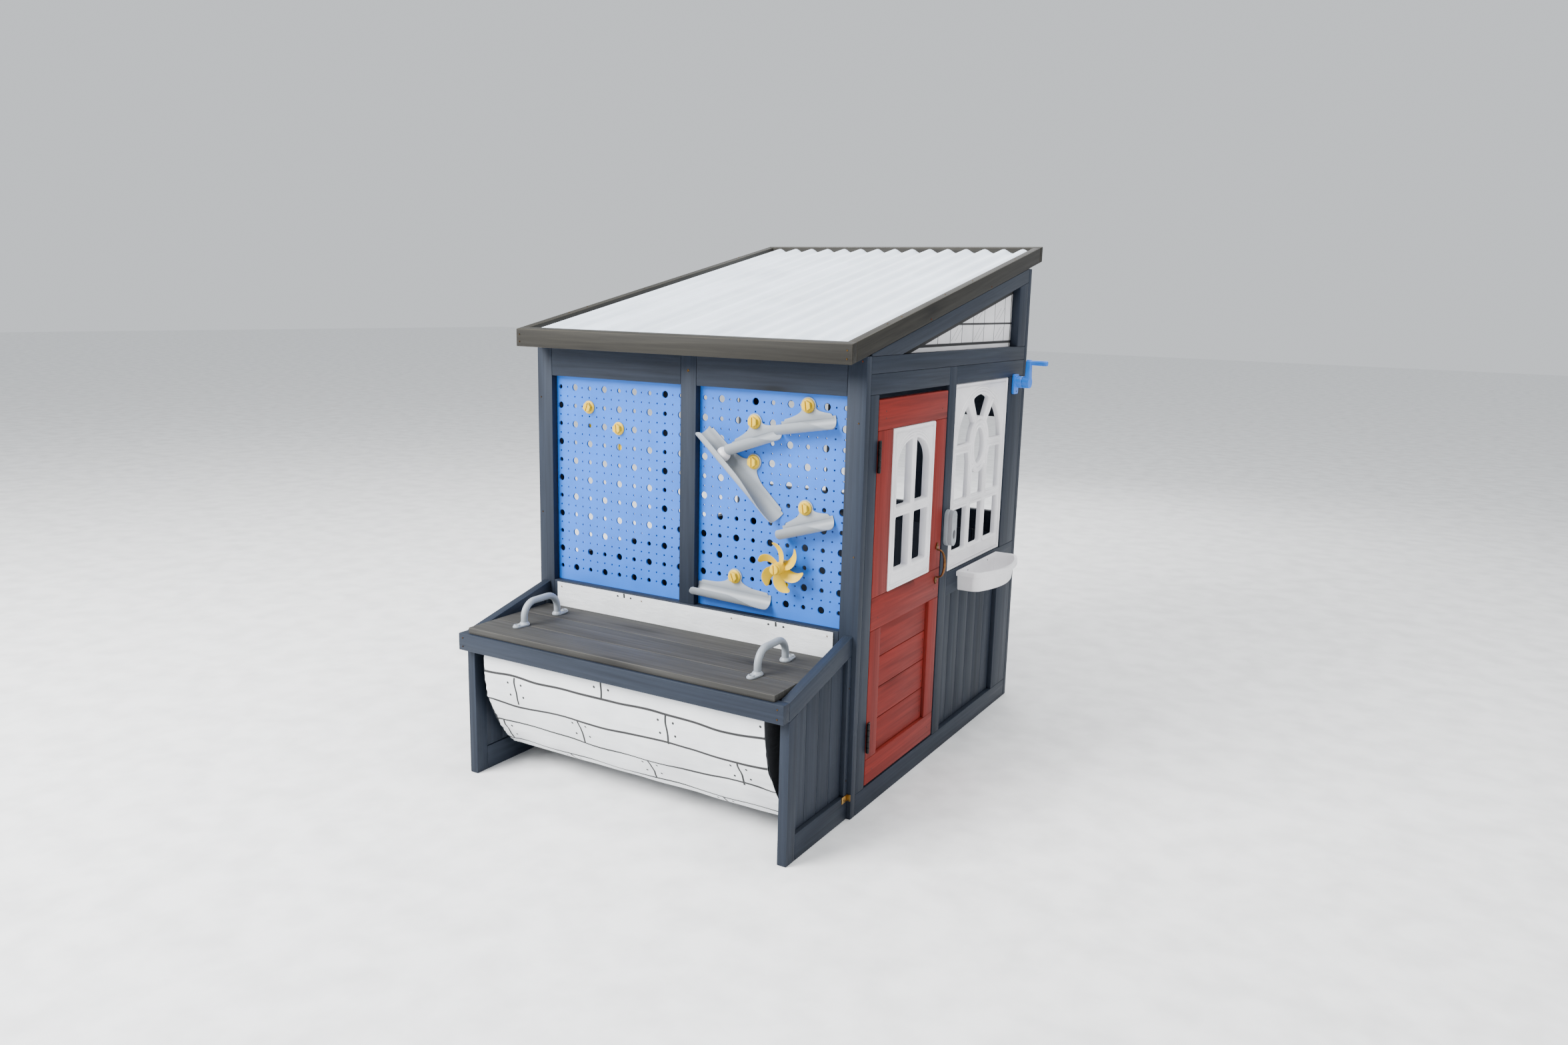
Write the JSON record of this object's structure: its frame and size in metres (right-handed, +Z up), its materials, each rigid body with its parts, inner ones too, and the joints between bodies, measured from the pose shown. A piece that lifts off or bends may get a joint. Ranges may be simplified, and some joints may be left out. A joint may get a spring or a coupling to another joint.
{
  "type": "playhouse",
  "caption": "Free-standing wooden playhouse with a sloping corrugated roof, hinged side door, arched windows, a pegboard ball run on the front wall and a lidded fabric toy bin.",
  "frame": {"origin": "on the ground, under the middle of the whole object's box", "axes": "+Z up; the pegboard wall and the toy bin face -Y; the door side faces +X"},
  "size_m": [1.1653, 1.625, 1.5193],
  "materials": {
    "blue_stain": "blue-grey stained softwood, satin, grain showing",
    "roof_stain": "brown-grey stained softwood",
    "door_stain": "red-brown stained softwood",
    "grey_plank": "dark grey stained planks",
    "roof_sheet": "pale translucent-looking corrugated plastic",
    "sky_plastic": "moulded sheet, fine satin",
    "white_plastic": "moulded, soft gloss",
    "grey_plastic": "moulded, satin",
    "yellow_plastic": "moulded, satin",
    "blue_plastic": "moulded, satin",
    "dark_plastic": "satin",
    "canvas": "coated woven polyester, printed",
    "black_steel": "black powder coat",
    "bronze": "antique bronze, satin"
  },
  "bodies": {
    "house": {"front_post_left": "blue_stain", "front_post_right": "blue_stain", "front_post_center": "blue_stain", "front_top_rail_left": "blue_stain", "front_top_rail_right": "blue_stain", "front_mid_rail": "blue_stain", "front_lower_panel": "blue_stain", "right_front_stile": "blue_stain", "right_mid_stile": "blue_stain", "right_back_stile": "blue_stain", "right_bottom_rail": "blue_stain", "right_top_rail": "blue_stain", "right_sill_rail": "blue_stain", "right_lower_panel": "blue_stain", "left_wall": "blue_stain", "back_wall": "blue_stain", "gable_frame_right": "blue_stain", "gable_left": "blue_stain", "bin_side_left": "blue_stain", "bin_side_right": "blue_stain", "bin_front_rail": "blue_stain", "roof_board_front": "roof_stain", "roof_board_back": "roof_stain", "roof_board_left": "roof_stain", "roof_board_right": "roof_stain", "roof_purlin": "roof_stain", "roof_sheet": "roof_sheet", "pegboard_left": "sky_plastic", "pegboard_right": "sky_plastic", "window_insert": "white_plastic", "planter_box": "white_plastic", "doorbell_body": "grey_plastic", "bolt_a": "yellow_plastic", "bolt_b": "yellow_plastic", "bolt_c": "yellow_plastic", "bolt_d": "yellow_plastic", "bolt_e": "yellow_plastic", "spare_bolt_upper": "yellow_plastic", "spare_bolt_lower": "yellow_plastic", "spinner_bolt": "yellow_plastic", "crank_plate": "blue_plastic", "bin_sling": "canvas", "gable_panel_right": "canvas"},
    "door": {"door_leaf": "door_stain", "door_insert": "white_plastic", "door_hinge_lower": "black_steel", "door_hinge_upper": "black_steel", "door_pull": "bronze"},
    "bin_cover": {"bin_lid": "grey_plank", "grab_handle_left": "grey_plastic", "grab_handle_right": "grey_plastic"},
    "crank_arm": {"crank_handle": "blue_plastic"},
    "bell_push": {"doorbell_button": "dark_plastic"},
    "run_a": {"chute_a": "grey_plastic"},
    "run_b": {"chute_b": "grey_plastic"},
    "run_c": {"chute_c": "grey_plastic"},
    "run_d": {"chute_d": "grey_plastic"},
    "run_e": {"chute_e": "grey_plastic"},
    "wheel": {"spinner": "yellow_plastic"},
    "marble": {"ball": "white_plastic"}
  },
  "joints": [
    {"name": "door_swing", "type": "hinge", "parent": "house", "child": "door", "pos_m": [0.4735, -0.393, 0.066], "axis": [0, 0, -1], "range_deg": [0, 105]},
    {"name": "bin_lid_lift", "type": "slide", "parent": "house", "child": "bin_cover", "axis": [0, -0.5, 0.866], "range_m": [0, 0.3]},
    {"name": "crank_turn", "type": "hinge", "parent": "house", "child": "crank_arm", "pos_m": [0.4983, 0.6055, 1.086], "axis": [1, 0, 0], "continuous": true},
    {"name": "doorbell_press", "type": "slide", "parent": "house", "child": "bell_push", "axis": [-1, 0, 0], "range_m": [0, 0.003], "stiffness_N_per_m": 400},
    {"name": "chute_a_tilt", "type": "hinge", "parent": "house", "child": "run_a", "pos_m": [0.2974, -0.4503, 1.067], "axis": [0, -1, 0], "range_deg": [-10, 0]},
    {"name": "chute_b_tilt", "type": "hinge", "parent": "house", "child": "run_b", "pos_m": [0.1399, -0.4503, 1.0145], "axis": [0, -1, 0], "range_deg": [0, 4]},
    {"name": "chute_c_tilt", "type": "hinge", "parent": "house", "child": "run_c", "pos_m": [0.1399, -0.4503, 0.9095], "axis": [0, -1, 0], "range_deg": [0, 5]},
    {"name": "chute_d_tilt", "type": "hinge", "parent": "house", "child": "run_d", "pos_m": [0.2974, -0.4503, 0.8045], "axis": [0, -1, 0], "range_deg": [-4, 0]},
    {"name": "chute_e_tilt", "type": "hinge", "parent": "house", "child": "run_e", "pos_m": [0.0874, -0.4503, 0.5945], "axis": [0, -1, 0], "range_deg": [0, 8]},
    {"name": "spinner_spin", "type": "hinge", "parent": "house", "child": "wheel", "pos_m": [0.2449, -0.48, 0.647], "axis": [0, 1, 0], "continuous": true},
    {"name": "ball_roll", "type": "slide", "parent": "run_c", "child": "marble", "axis": [0.742, 0, -0.6704], "range_m": [0, 0.2]}
  ]
}
